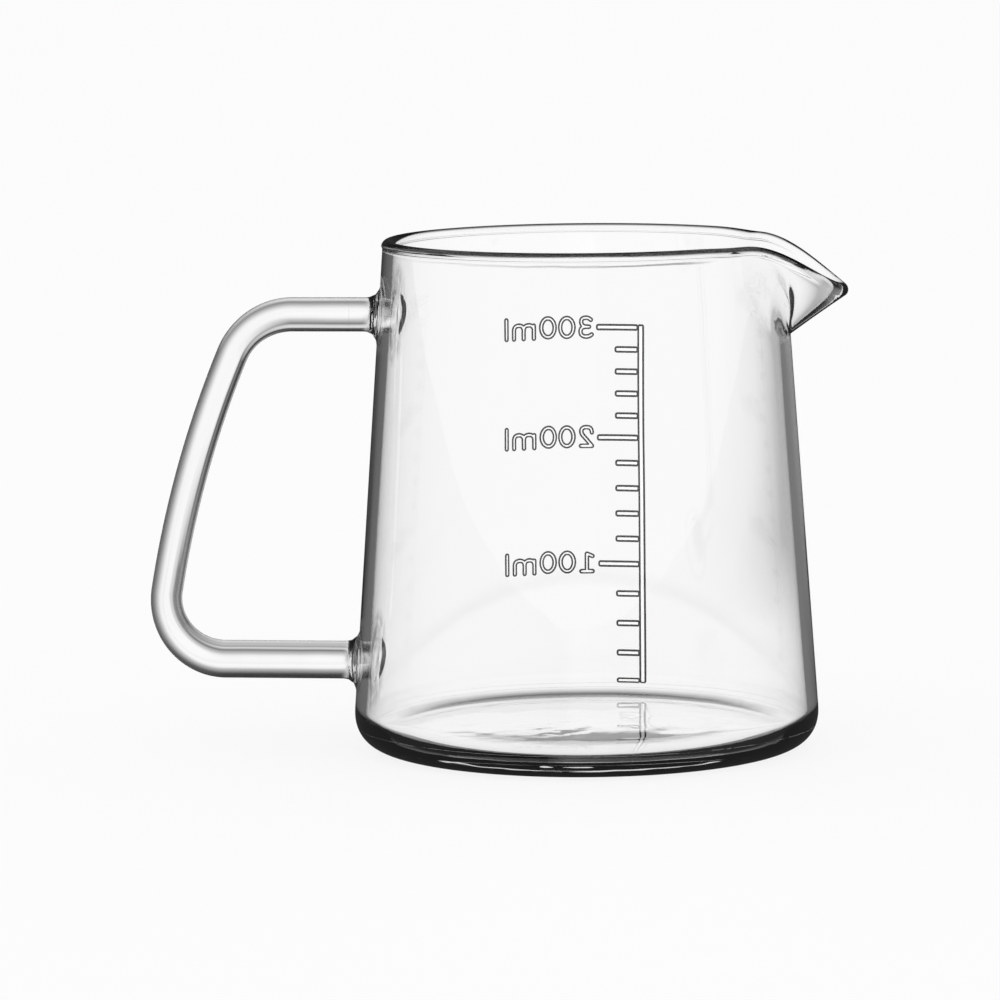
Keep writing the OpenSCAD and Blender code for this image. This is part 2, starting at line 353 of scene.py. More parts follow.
def weld_mask_group():
    """1 on the seat where an end of the handle and the wall are one piece of glass. Light passes
    there as if neither face were present, because both are inside the glass."""
    group = bpy.data.node_groups.new("weld_seat", "ShaderNodeTree")
    face = group.interface
    for name in ("Arm height", "Rod radius", "Side", "Inner flare", "Outer flare"):
        face.new_socket(name, in_out="INPUT", socket_type="NodeSocketFloat")
    face.new_socket("Seat", in_out="OUTPUT", socket_type="NodeSocketFloat")
    value = math_in(group)
    given = group.nodes.new("NodeGroupInput")
    where = group.nodes.new("ShaderNodeTexCoord").outputs["Object"]
    x, y, z = node_in(group, "ShaderNodeSeparateXYZ", {"Vector": where}).outputs
    rise = value("SUBTRACT", z, given.outputs["Arm height"])
    reach = length_of(value, y, rise)
    cosine = value("DIVIDE", value("MULTIPLY", rise, given.outputs["Side"]), value("ADD", reach, 1e-9))
    share = value("MULTIPLY", value("SUBTRACT", 1, cosine), 0.5)
    flare = value("SUBTRACT", given.outputs["Outer flare"], given.outputs["Inner flare"])
    flare = value("ADD", value("MULTIPLY", flare, share), given.outputs["Inner flare"])
    under_rod = value("LESS_THAN", reach, value("ADD", flare, given.outputs["Rod radius"]))
    taper = (FOOT_RADIUS - RIM_RADIUS) / JUG_HEIGHT
    wall = value("SUBTRACT", FOOT_RADIUS, value("MULTIPLY", z, taper))
    off_wall = value("ABSOLUTE", value("SUBTRACT", length_of(value, x, y), wall))
    on_wall = value("LESS_THAN", off_wall, SEAT_TOLERANCE)
    behind = value("LESS_THAN", x, 0)
    seat = value("MULTIPLY", value("MULTIPLY", under_rod, on_wall), behind)
    node_in(group, "NodeGroupOutput", {"Seat": seat})
    return group


GLASS_IOR = 1.47
SEAT_TOLERANCE = 0.00003
WAVE_SCALE = 110
WAVE_BUMP = 0.00003
WAVE_ROUGHNESS = 0.001
EDGE_DRIFT = 0.03
MOTTLE_SCALE = 700
MOTTLE_BUMP = 0.00014
SPOT_HALF_WIDTH = 0.0085
SPOT_HALF_HEIGHT = 0.010
SPOT_START_X = -0.0435
SPOT_END_X = -0.030
# Level and share of the painted shade at the ends of the handle
WELD_SHADE_LEVEL = 0.1
WELD_SHADE_SHARE = 0.85
FLOOR_START_Z = 0.002
FLOOR_END_Z = 0.0045
FLOOR_WAVE_SCALE = 75
RIPPLE_BUMP = 0.00009
SWIRL_BUMP = 0.00013
SWIRL_X = -0.004
SWIRL_RADIUS = 0.013
# Painted dark line a little below the rim: its depth, wander, half width, end and level
SHADE_LINE_DEPTH = 0.0024
SHADE_LINE_WANDER = 0.0006
SHADE_LINE_HALF_WIDTH = 0.0002
SHADE_LINE_END_X = 0.026
SHADE_LINE_LEVEL = 0.03
# Painted glow of the glass after more than this many reflections inside it
CAUGHT_BOUNCES = 2.5
PAINTED_HEEL_GLOW = 0.0035


def clear_glass():
    """Clear glass with faint waves, with painted shade where it is seen edge on and in a line below the rim,
    a faint painted glow deep in the heel, and open at the welds.
    """
    glass = bpy.data.materials.new("clear_glass")
    glass.use_nodes = True
    tree = glass.node_tree
    nodes, links = tree.nodes, tree.links
    value = math_in(tree)
    shader = nodes["Principled BSDF"]
    shader.inputs["Metallic"].default_value = 0.0
    shader.inputs["Transmission Weight"].default_value = 1.0
    shader.inputs["IOR"].default_value = GLASS_IOR
    where = nodes.new("ShaderNodeTexCoord").outputs["Object"]
    x, y, z = node_in(tree, "ShaderNodeSeparateXYZ", {"Vector": where}).outputs

    def noise(scale, stretch, detail, distortion):
        stretched = node_in(tree, "ShaderNodeMapping", {"Vector": where, "Scale": stretch}).outputs[0]
        sockets = {"Vector": stretched, "Scale": scale, "Detail": detail, "Distortion": distortion}
        return node_in(tree, "ShaderNodeTexNoise", sockets).outputs[0]

    def raised(height, distance, below=None):
        sockets = {"Height": height, "Distance": distance, "Strength": 1.0}
        if below is not None:
            sockets["Normal"] = below
        return node_in(tree, "ShaderNodeBump", sockets).outputs[0]

    def within(number):
        return value("MAXIMUM", value("MINIMUM", number, 1), 0)

    def rising(number, start, gain):
        return within(value("MULTIPLY", value("SUBTRACT", number, start), gain))

    def between(low, high, share):
        mix = node_in(tree, "ShaderNodeMix", {"Factor": share, "A": low, "B": high}, data_type="RGBA")
        return mix.outputs["Result"]

    def grey(level):
        colour = nodes.new("ShaderNodeRGB")
        colour.outputs[0].default_value = (level, level, level, 1)
        return colour.outputs[0]

    def attribute(name):
        return node_in(tree, "ShaderNodeAttribute", {}, attribute_name=name).outputs["Fac"]

    # Waves all over, mottle at the welds, and ripples and a swirl in the floor's upper face
    waves = noise(WAVE_SCALE, (1, 1, 0.2), 1, 0)
    normal = raised(waves, WAVE_BUMP)
    spots = []
    for arm_z in (ARM_TOP_Z, ARM_LOW_Z):
        across = value("DIVIDE", y, SPOT_HALF_WIDTH)
        along = value("DIVIDE", value("SUBTRACT", z, arm_z), SPOT_HALF_HEIGHT)
        spots.append(value("MAXIMUM", value("SUBTRACT", 1, length_of(value, across, along)), 0))
    at_weld = value("MULTIPLY", value("LESS_THAN", x, SPOT_END_X), value("GREATER_THAN", x, SPOT_START_X))
    spot = value("MULTIPLY", value("MAXIMUM", spots[0], spots[1]), at_weld)
    mottle = noise(MOTTLE_SCALE, (1, 1, 0.25), 2, 0.8)
    normal = raised(value("MULTIPLY", mottle, spot), MOTTLE_BUMP, normal)
    above = value("GREATER_THAN", z, FLOOR_START_Z)
    floor_part = value("MULTIPLY", value("LESS_THAN", z, FLOOR_END_Z), above)
    reach = length_of(value, value("SUBTRACT", x, SWIRL_X), y)
    pool = value("MAXIMUM", value("SUBTRACT", 1, value("DIVIDE", reach, SWIRL_RADIUS)), 0)
    pool = value("MULTIPLY", pool, floor_part)
    ripple = noise(FLOOR_WAVE_SCALE, (1.6, 1, 1), 1, 0.5)
    normal = raised(value("MULTIPLY", ripple, floor_part), RIPPLE_BUMP, normal)
    swirl = noise(FLOOR_WAVE_SCALE, (1, 1, 1), 1, 2)
    normal = raised(value("MULTIPLY", swirl, pool), SWIRL_BUMP, normal)
    links.new(normal, shader.inputs["Normal"])
    links.new(value("MULTIPLY", waves, WAVE_ROUGHNESS), shader.inputs["Roughness"])

    # Painted shade on the rod and lip: each ramp has pairs of a place across the rod or lip, 0 in its
    # middle and 1 at its edge, and the share of the light that the painted tint lets through there
    facing = node_in(tree, "ShaderNodeLayerWeight", {"Blend": 0.5}).outputs["Facing"]
    drift = value("MULTIPLY", value("SUBTRACT", waves, 0.5), EDGE_DRIFT)
    drifted = value("ADD", facing, drift)

    def edge_shade_ramp(stops):
        stops = [(1 - math.sqrt(1 - across * across), level**2) for across, level in stops]
        return ramp_in(tree, drifted, stops)

    outer = edge_shade_ramp([
        (0.15, 1.0), (0.34, 0.99), (0.4, 0.92), (0.5, 0.76), (0.57, 0.6), (0.63, 0.48), (0.69, 0.38),
        (0.745, 0.33), (0.8, 0.62), (0.86, 1.0), (0.92, 1.0), (0.98, 0.8), (1.0, 0.7),
    ])
    outer_leg = edge_shade_ramp([
        (0.26, 1.0), (0.386, 0.96), (0.45, 0.88), (0.51, 0.76), (0.576, 0.64), (0.64, 0.5), (0.7, 0.4),
        (0.766, 0.29), (0.83, 0.24), (0.89, 0.16), (0.95, 0.2), (1.0, 0.5),
    ])
    outer_low = edge_shade_ramp([
        (0.35, 1.0), (0.44, 0.95), (0.49, 0.83), (0.545, 0.58), (0.6, 0.48), (0.65, 0.39), (0.7, 0.29),
        (0.754, 0.14), (0.806, 0.085), (0.86, 0.05), (0.91, 0.06), (0.96, 0.12), (1.0, 0.3),
    ])
    inner_top = edge_shade_ramp([
        (0.12, 1.0), (0.22, 0.9), (0.3, 0.72), (0.4, 0.5), (0.5, 0.32), (0.57, 0.28), (0.6, 0.5),
        (0.65, 0.84), (0.71, 1.0), (0.77, 0.92), (0.8, 0.4), (0.83, 0.09), (0.94, 0.1), (1.0, 0.3),
    ])
    inner_leg = edge_shade_ramp([
        (0.48, 1.0), (0.56, 0.85), (0.6, 0.3), (0.64, 0.1), (0.7, 0.25), (0.76, 0.1), (0.84, 0.02),
        (0.9, 0.15), (0.95, 0.6), (1.0, 1.0),
    ])
    inner_foot = edge_shade_ramp([
        (0.2, 1.0), (0.27, 0.75), (0.34, 0.7), (0.4, 0.55), (0.46, 0.27), (0.52, 0.23), (0.59, 0.19),
        (0.65, 0.24), (0.715, 0.3), (0.78, 0.2), (0.84, 0.13), (0.9, 0.22), (0.97, 0.75), (1.0, 1.0),
    ])
    inner_low = edge_shade_ramp([
        (0.12, 1.0), (0.22, 0.9), (0.293, 0.72), (0.345, 0.57), (0.45, 0.36), (0.5, 0.19), (0.555, 0.54),
        (0.607, 0.82), (0.66, 0.46), (0.71, 0.5), (0.764, 0.66), (0.82, 0.64), (0.87, 0.77), (0.92, 1.0),
    ])
    # Painted shade on the lip, darker towards its edges
    lip_edge_shade = edge_shade_ramp([
        (0.3, 1.0), (0.38, 0.65), (0.46, 0.2), (0.55, 0.1), (0.8, 0.08), (1.0, 0.12),
    ])

    # The zone runs along the handle: 0 upper arm, 1 top of the leg, 1.5 its foot, 2 lower arm
    rod, inner_side, zone, lip_shade = [attribute(name) for name in ("rod", "inner_side", "zone", "lip_shade")]
    down_leg = rising(zone, 1.15, 1 / 0.3)
    past_foot = rising(zone, 1.7, 1 / 0.3)
    past_bend = rising(zone, 1.5, 2)
    inner = between(inner_top, inner_leg, within(zone))
    inner = between(between(inner, inner_foot, down_leg), inner_low, past_foot)
    outer = between(between(outer, outer_leg, within(zone)), outer_low, past_bend)
    rod_shade = between(outer, inner, within(value("ADD", value("MULTIPLY", inner_side, 3), 0.5)))
    leaving = nodes.new("ShaderNodeNewGeometry").outputs["Backfacing"]
    entering = value("SUBTRACT", 1, leaving)
    # Painted shade: the rod and the lip are darkened where they are seen edge on
    painted_tint = between(grey(1), rod_shade, value("MULTIPLY", rod, entering))
    painted_tint = between(painted_tint, lip_edge_shade, value("MULTIPLY", lip_shade, entering))

    # Painted shade at the ends of the handle: mottled dark grey where the glass is seen edge on
    weld_shade = value("MULTIPLY", rising(spot, 0, 5), rising(mottle, 0.3, 4))
    weld_shade = value("MULTIPLY", weld_shade, value("SUBTRACT", 1, rod))
    from_inside = value("MULTIPLY", rising(facing, 0.15, 6), leaving)
    weld_shade = value("MULTIPLY", weld_shade, value("MAXIMUM", rising(facing, 0.45, 2.5), from_inside))
    painted_tint = between(painted_tint, grey(WELD_SHADE_LEVEL), value("MULTIPLY", weld_shade, WELD_SHADE_SHARE))

    # Painted shade: a dark line inside the wall a little below the rim. It fades in round
    # the front, grows stronger towards the spout and ends before it
    below = value("SUBTRACT", JUG_HEIGHT - SHADE_LINE_DEPTH, z)
    below = value("ADD", below, value("MULTIPLY", value("SUBTRACT", waves, 0.5), SHADE_LINE_WANDER))
    line = within(value("SUBTRACT", 1, value("DIVIDE", value("ABSOLUTE", below), SHADE_LINE_HALF_WIDTH)))
    front = within(value("MULTIPLY", y, -60))
    beside = within(value("MULTIPLY", value("SUBTRACT", SHADE_LINE_END_X, x), 200))
    line = value("MULTIPLY", line, value("MULTIPLY", front, beside))
    strength = within(value("ADD", 0.6, value("MULTIPLY", x, 16)))
    painted_tint = between(painted_tint, grey(SHADE_LINE_LEVEL), value("MULTIPLY", line, strength))
    links.new(painted_tint, shader.inputs["Base Color"])

    # Painted glow: where a path has been reflected more than twice inside the glass, as in the thick heel,
    # the glass gives off a little light, where the path would end
    bounces = nodes.new("ShaderNodeLightPath").outputs["Glossy Depth"]
    heel_glow = value("GREATER_THAN", bounces, CAUGHT_BOUNCES)
    links.new(value("MULTIPLY", heel_glow, PAINTED_HEEL_GLOW), shader.inputs["Emission Strength"])
    shader.inputs["Emission Color"].default_value = (1, 1, 1, 1)

    seats = []
    for arm_z, diameter, side in ((ARM_TOP_Z, TOP_ROD, -1), (ARM_LOW_Z, LOW_ROD, 1)):
        sizes = {
            "Arm height": arm_z, "Rod radius": diameter / 2, "Side": side,
            "Inner flare": WELD_INNER_HEIGHT, "Outer flare": WELD_OUTER_HEIGHT,
        }
        seats.append(node_in(tree, "ShaderNodeGroup", sizes, node_tree=weld_seat).outputs["Seat"])
    open_seats = value("MAXIMUM", seats[0], seats[1])
    links.new(value("SUBTRACT", 1, open_seats), shader.inputs["Alpha"])
    return glass


weld_seat = weld_mask_group()
glass = clear_glass()
vessel.data.materials.append(glass)
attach(vessel, "root")
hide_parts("vessel")

# Handle. A clear glass rod, bent hot in one plane and fused to the wall at both ends, where
# it runs out into a smooth flare.
TOP_ARM_LENGTH = 0.0162
TOP_BEND_RADIUS = 0.0124
LOW_BEND_RADIUS = 0.011
TOP_BEND_ANGLE = math.radians(67)
LEG_BOW_ANGLE = math.radians(13.4)
LEG_ROD = 0.0058
WELD_REACH = 0.0032
WELD_RIDGE = 0.00008
WELD_RIDGE_PACE = 13
WELD_POWER = 2.6
ROD_SIDES = 72

leg_start = math.pi + TOP_BEND_ANGLE
leg_end = leg_start + LEG_BOW_ANGLE
leg_radius = (
    ARM_TOP_Z - ARM_LOW_Z
    - TOP_BEND_RADIUS * (1 - math.cos(TOP_BEND_ANGLE))
    - LOW_BEND_RADIUS * (1 - math.cos(leg_end))
) / (math.cos(leg_end) - math.cos(leg_start))
turns = np.linspace(0, 2 * math.pi, ROD_SIDES, endpoint=False)


def turned(p, r, h1, h2):
    return p + r * np.array([math.sin(h2) - math.sin(h1), math.cos(h1) - math.cos(h2)])


def eased(a, b, t):
    return a + (b - a) * (1 - math.cos(math.pi * t)) / 2


def rod_ring(centre, heading, diameter):
    across = diameter / 2 * np.cos(turns)
    return np.stack([
        centre[0] - across * math.sin(heading),
        diameter / 2 * np.sin(turns),
        centre[1] + across * math.cos(heading),
    ], axis=1)


def weld_ring(arm_z, diameter, side, turn, share=1.0):
    """Ring of the flare, from the wall at turn 0 to the rod at a quarter turn, faintly ridged."""
    rise = WELD_INNER_HEIGHT + (WELD_OUTER_HEIGHT - WELD_INNER_HEIGHT) * (1 - np.cos(turns)) / 2
    r = (diameter / 2 + rise * (1 - math.sin(turn) ** (2 / WELD_POWER))) * share
    if 0 < turn:
        fade = math.sin(2 * turn) ** 2
        ripple = turn * WELD_RIDGE_PACE + 1.3 * np.sin(2 * turns + side) + 0.6 * np.sin(5 * turns)
        r = r + WELD_RIDGE * fade * np.sin(ripple)
    y = r * np.sin(turns)
    z = arm_z + side * r * np.cos(turns)
    away = WELD_REACH * (1 - max(math.cos(turn), 0) ** (2 / WELD_POWER))
    x = -np.sqrt(outer_radius(z) ** 2 - y**2) - away
    return np.stack([x, y, z], axis=1)


bend_start = np.array([-outer_radius(ARM_TOP_Z) - TOP_ARM_LENGTH, ARM_TOP_Z])
leg_top = turned(bend_start, TOP_BEND_RADIUS, math.pi, leg_start)
leg_foot = turned(leg_top, leg_radius, leg_start, leg_end)
arm_steps = 20
weld_steps = 48
handle_rings = []
ring_zone = []
ring_rod = []


def add_ring(ring, zone, rod=1.0):
    handle_rings.append(ring)
    ring_zone.append(zone)
    ring_rod.append(rod)


for share in np.linspace(0.08, 0.92, 11):
    add_ring(weld_ring(ARM_TOP_Z, TOP_ROD, -1, 0, share), 0, 0)
for u in np.linspace(0, math.pi / 2, weld_steps + 1):
    add_ring(weld_ring(ARM_TOP_Z, TOP_ROD, -1, u), 0, eased_step(u / math.pi * 4 - 1))
seat_x = handle_rings[-1][:, 0].mean()
for t in np.linspace(0, 1, arm_steps)[1:-1]:
    x = seat_x + (bend_start[0] - seat_x) * t
    add_ring(rod_ring(np.array([x, ARM_TOP_Z]), math.pi, TOP_ROD), 0)
for t in np.linspace(0, 1, 40):
    h = math.pi + TOP_BEND_ANGLE * t
    add_ring(rod_ring(turned(bend_start, TOP_BEND_RADIUS, math.pi, h), h, eased(TOP_ROD, LEG_ROD, t)), t)
for t in np.linspace(0, 1, 60)[1:]:
    h = leg_start + LEG_BOW_ANGLE * t
    add_ring(rod_ring(turned(leg_top, leg_radius, leg_start, h), h, LEG_ROD), 1 + 0.5 * t)
for t in np.linspace(0, 1, 60)[1:]:
    h = leg_end + (2 * math.pi - leg_end) * t
    centre = turned(leg_foot, LOW_BEND_RADIUS, leg_end, h)
    add_ring(rod_ring(centre, h, eased(LEG_ROD, LOW_ROD, t)), 1.5 + 0.5 * t)
low_arm_x = turned(leg_foot, LOW_BEND_RADIUS, leg_end, 2 * math.pi)[0]
low_seat = weld_ring(ARM_LOW_Z, LOW_ROD, 1, math.pi / 2)
for t in np.linspace(0, 1, arm_steps)[1:-1]:
    x = low_arm_x + (low_seat[:, 0].mean() - low_arm_x) * t
    add_ring(rod_ring(np.array([x, ARM_LOW_Z]), 2 * math.pi, LOW_ROD), 2)
for u in np.linspace(math.pi / 2, 0, weld_steps + 1):
    add_ring(weld_ring(ARM_LOW_Z, LOW_ROD, 1, u), 2, eased_step(u / math.pi * 4 - 1))
for share in np.linspace(0.92, 0.08, 11):
    add_ring(weld_ring(ARM_LOW_Z, LOW_ROD, 1, 0, share), 2, 0)
handle = closed_mesh(
    "handle_rod",
    handle_rings,
    (-outer_radius(ARM_TOP_Z), 0, ARM_TOP_Z),
    (-outer_radius(ARM_LOW_Z), 0, ARM_LOW_Z),
)
for name, per_vertex in (
    ("rod", np.repeat(ring_rod, ROD_SIDES)),
    ("zone", np.repeat(ring_zone, ROD_SIDES)),
    ("inner_side", np.tile(np.cos(turns), len(handle_rings))),
):
    attribute = handle.data.attributes.new(name, "FLOAT", "POINT")
    attribute.data.foreach_set("value", np.concatenate([per_vertex, [0, 0]]))
handle.data.materials.append(glass)
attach(handle, "root")
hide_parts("handle")

# Scale. White enamel cells inside dark enamel outlines, printed on the outside of the wall and
# fired into it. The bar and its marks have rounded corners and are repeated by Geometry Nodes.
FIRST_MARK_Z = 0.0051
LOW_PITCH = 0.00576
MID_PITCH = 0.00488
TOP_PITCH = 0.00423
BAR_RIGHT = 0.00778
BAR_WIDTH = 0.0014
PRINT_SLANT = 0.0075
MARK_HEIGHT = 0.00128
LONG_MARK = 0.0084
SHORT_MARK = 0.0048
LINE_WIDTH = 0.0004
PRINT_THICKNESS = 0.00008
PRINT_GAP = 0.00001
CORNER_SHARE = 0.6
POINT_SHARE = 0.4
PLATE_SHARE = 0.8
MERGE_DISTANCE = 0.0000008
CLOUD_SCALE = 900
CLOUD_DARK = 0.85
CLOUD_LIGHT = 1.06
UNEVEN_GLOSS = 0.3
GRAIN_SCALE = 6000
GRAIN_BUMP = 0.00001
WHITE_COLOUR = (0.9, 0.9, 0.89, 1)
WHITE_ROUGHNESS = 0.35
DARK_COLOUR = (0.012, 0.012, 0.013, 1)
DARK_ROUGHNESS = 0.6
# Strength of the painted glow of the white enamel where it is seen through the glass
PAINTED_BACK_GLOW = 0.85

# Heights of the long marks, for 100, 200 and 300 ml
low_mark_z = FIRST_MARK_Z + 4 * LOW_PITCH
mid_mark_z = low_mark_z + 5 * MID_PITCH
top_mark_z = mid_mark_z + 5 * TOP_PITCH


def mark_tree():
    """Row of cells with rounded corners, as closed outlines or as closed plates."""
    tree = bpy.data.node_groups.new("mark_row", "GeometryNodeTree")
    face = tree.interface
    face.new_socket("Geometry", in_out="OUTPUT", socket_type="NodeSocketGeometry")
    for name in ("Length", "Height", "Line width", "Thickness", "Pitch", "Right edge", "First height"):
        face.new_socket(name, in_out="INPUT", socket_type="NodeSocketFloat")
    face.new_socket("Count", in_out="INPUT", socket_type="NodeSocketInt")
    face.new_socket("Outline", in_out="INPUT", socket_type="NodeSocketBool")
    face.new_socket("Enamel", in_out="INPUT", socket_type="NodeSocketMaterial")
    value = math_in(tree)
    given = tree.nodes.new("NodeGroupInput").outputs
    line = given["Line width"]

    def made(kind, sockets, **settings):
        return node_in(tree, kind, sockets, **settings).outputs[0]

    def place(**axes):
        return made("ShaderNodeCombineXYZ", axes)

    cell = made("GeometryNodeCurvePrimitiveQuadrilateral", {
        "Width": value("SUBTRACT", given["Length"], line), "Height": value("SUBTRACT", given["Height"], line),
    })
    cell = made("GeometryNodeFilletCurve", {
        "Curve": cell, "Radius": value("MULTIPLY", line, CORNER_SHARE), "Count": 4, "Limit Radius": True,
    }, mode="POLY")
    spacing = value("MULTIPLY", line, POINT_SHARE)
    cell = made("GeometryNodeResampleCurve", {"Curve": cell, "Length": spacing}, mode="LENGTH")
    upright = made("GeometryNodeSetCurveNormal", {"Curve": cell}, mode="Z_UP")
    section = made("GeometryNodeCurvePrimitiveQuadrilateral", {"Width": line, "Height": given["Thickness"]})
    outline = made("GeometryNodeCurveToMesh", {"Curve": upright, "Profile Curve": section})

    depth = value("MULTIPLY", given["Thickness"], PLATE_SHARE)
    plate = made("GeometryNodeFillCurve", {"Curve": cell})
    plate = made("GeometryNodeTransform", {
        "Geometry": plate, "Translation": place(Z=value("MULTIPLY", depth, -0.5)),
    })
    raised = made("GeometryNodeExtrudeMesh", {"Mesh": plate, "Individual": False, "Offset Scale": depth})
    both = tree.nodes.new("GeometryNodeJoinGeometry")
    tree.links.new(made("GeometryNodeFlipFaces", {"Mesh": plate}), both.inputs["Geometry"])
    tree.links.new(raised, both.inputs["Geometry"])
    plate = made("GeometryNodeMergeByDistance", {"Geometry": both.outputs[0], "Distance": 0.000001})

    choice = made("GeometryNodeSwitch", {
        "Switch": given["Outline"], "False": plate, "True": outline,
    }, input_type="GEOMETRY")
    middle = value("SUBTRACT", given["Right edge"], value("MULTIPLY", given["Length"], 0.5))
    row = made("GeometryNodeMeshLine", {
        "Count": given["Count"], "Start Location": place(X=middle, Y=given["First height"]),
        "Offset": place(Y=given["Pitch"]),
    })
    marks = made("GeometryNodeInstanceOnPoints", {"Points": row, "Instance": choice})
    marks = made("GeometryNodeRealizeInstances", {"Geometry": marks})
    marks = made("GeometryNodeSetMaterial", {"Geometry": marks, "Material": given["Enamel"]})
    node_in(tree, "NodeGroupOutput", {"Geometry": marks})
    return tree


def enamel_material(name, colour, roughness, glow):
    """Fired enamel: slightly uneven in colour and gloss, with the fine grain of a screen print, and a painted
    glow of the given strength where it is seen through the glass.
    """
    enamel = bpy.data.materials.new(name)
    enamel.use_nodes = True
    tree = enamel.node_tree
    value = math_in(tree)
    shader = tree.nodes["Principled BSDF"].inputs
    where = tree.nodes.new("ShaderNodeTexCoord").outputs["Object"]
    noise = {"Vector": where, "Scale": CLOUD_SCALE, "Detail": 2}
    cloud = node_in(tree, "ShaderNodeTexNoise", noise).outputs[0]
    noise = {"Vector": where, "Scale": GRAIN_SCALE, "Detail": 1}
    grain = node_in(tree, "ShaderNodeTexNoise", noise).outputs[0]
    dark = tuple(c * CLOUD_DARK for c in colour[:3]) + (1,)
    light = tuple(min(c * CLOUD_LIGHT, 1) for c in colour[:3]) + (1,)
    mix = node_in(tree, "ShaderNodeMix", {"Factor": cloud, "A": dark, "B": light}, data_type="RGBA")
    tree.links.new(mix.outputs["Result"], shader["Base Color"])
    uneven = value("MULTIPLY", value("SUBTRACT", cloud, 0.5), UNEVEN_GLOSS)
    tree.links.new(value("ADD", uneven, roughness), shader["Roughness"])
    bump = node_in(tree, "ShaderNodeBump", {"Height": grain, "Distance": GRAIN_BUMP})
    tree.links.new(bump.outputs[0], shader["Normal"])
    # Painted glow: the enamel gives off light where it is seen through the glass, so that it looks lit from
    # behind
    seen_through = tree.nodes.new("ShaderNodeLightPath").outputs["Is Transmission Ray"]
    shader["Emission Color"].default_value = (1, 1, 1, 1)
    tree.links.new(value("MULTIPLY", seen_through, glow), shader["Emission Strength"])
    return enamel


def mark_rows(tree, outline, enamel):
    """Meshes of the bar, the long marks and the short marks, still flat."""
    edge = BAR_RIGHT - BAR_WIDTH
    bar_low = FIRST_MARK_Z - MARK_HEIGHT / 2
    bar_high = top_mark_z + MARK_HEIGHT / 2
    long_pitch = mid_mark_z - low_mark_z
    inner = edge + LINE_WIDTH / 2
    rows = [
        (SHORT_MARK, MARK_HEIGHT, LOW_PITCH, inner, FIRST_MARK_Z, 4),
        (SHORT_MARK, MARK_HEIGHT, MID_PITCH, inner, low_mark_z + MID_PITCH, 4),
        (SHORT_MARK, MARK_HEIGHT, TOP_PITCH, inner, mid_mark_z + TOP_PITCH, 4),
        (LONG_MARK, MARK_HEIGHT, long_pitch, inner, low_mark_z, 2),
        (LONG_MARK, MARK_HEIGHT, 0.0, inner, top_mark_z, 1),
        (BAR_WIDTH, bar_high - bar_low, 0.0, edge + BAR_WIDTH, (bar_low + bar_high) / 2, 1),
    ]
    meshes = []
    for length, height, pitch, right, first, count in rows:
        carrier = bpy.data.objects.new("row", bpy.data.meshes.new("row"))
        bpy.context.scene.collection.objects.link(carrier)
        modifier = carrier.modifiers.new("marks", "NODES")
        modifier.node_group = tree
        settings = {
            "Length": length, "Height": height, "Line width": LINE_WIDTH, "Thickness": PRINT_THICKNESS,
            "Pitch": pitch, "Right edge": right, "First height": first, "Count": count,
            "Outline": outline, "Enamel": enamel,
        }
        for item in tree.interface.items_tree:
            if item.item_type == "SOCKET" and item.in_out == "INPUT":
                modifier[item.identifier] = settings[item.name]
        depsgraph = bpy.context.evaluated_depsgraph_get()
        meshes.append(bpy.data.meshes.new_from_object(carrier.evaluated_get(depsgraph)))
        bpy.data.objects.remove(carrier)
    return meshes


# Numerals. The figures beside the three long marks, drawn as round-ended strokes and turned
# into outlines. They are printed in the same two enamels as the marks.
STROKE = 0.00092
TEXT_DRIFT = 0.00025
TEXT_LIFT = 0.00035
UNIT_DROP = 0.00024
UNIT_X = 0.0000193
UNIT_Z = 0.0000188
TEXT_RISE = 0.0022
DIGIT_WIDTH = 1.03
LETTER_WIDTH = 1.1
GLYPH_GRID = 0.00004
GLYPH_SPACING = 0.00009
TEXT_LINE_WIDTH = 0.00034


def oval(x, z, half_x, half_z):
    turn = np.linspace(0, 2 * math.pi, 49)
    return [(x + half_x * math.cos(t), z + half_z * math.sin(t)) for t in turn]


def soft(points):
    """Smooth line through a few points."""
    points = np.array(points, float)
    for _ in range(3):
        near, far = points[:-1], points[1:]
        cut = np.stack([near * 0.75 + far * 0.25, near * 0.25 + far * 0.75], axis=1).reshape(-1, 2)
        points = np.vstack([points[:1], cut[1:-1], points[-1:]])
    return [tuple(p) for p in points]


# Strokes of each figure on a grid of about 200 units a figure's height, from left and from below
GLYPHS = {
    "0": [oval(88, 117, 66, 95)],
    "1": [[(76, 195), (76, 20)], [(22, 176), (74, 200)], [(22, 20), (128, 20)]],
    "2": [
        soft([(22, 160), (28, 196), (54, 214), (100, 214), (128, 190), (124, 144), (90, 104), (22, 22)]),
        [(22, 22), (130, 22)],
    ],
    "3": [
        soft([(28, 192), (54, 212), (100, 214), (126, 190), (122, 148), (98, 124), (46, 121)]),
        soft([(78, 122), (118, 114), (134, 80), (126, 38), (88, 20), (50, 22), (20, 42)]),
    ],
    "m": [
        [(26, 155), (26, 24)],
        soft([(26, 120), (38, 152), (76, 164), (112, 152), (124, 124), (124, 90)]),
        [(124, 100), (124, 24)],
        soft([(124, 120), (136, 152), (172, 164), (208, 152), (220, 124), (220, 90)]),
        [(220, 100), (220, 24)],
    ],
    "l": [[(28, 220), (28, 24)]],
}
# How far right of the scale's middle each figure starts, as seen from outside, in metres
GLYPH_PLACES = {"first": 0.00228, "tens": 0.00584, "ones": 0.0096, "m": 0.0136, "l": 0.01925}


def stroke_distance(lines, x, z):
    """Distance of each point of a grid to the nearest line."""
    best = np.full(x.shape, 1.0)
    for line in lines:
        for (ax, az), (bx, bz) in zip(line[:-1], line[1:]):
            dx, dz = bx - ax, bz - az
            share = np.clip(((x - ax) * dx + (z - az) * dz) / max(dx * dx + dz * dz, 1e-18), 0, 1)
            best = np.minimum(best, np.hypot(x - ax - share * dx, z - az - share * dz))
    return best


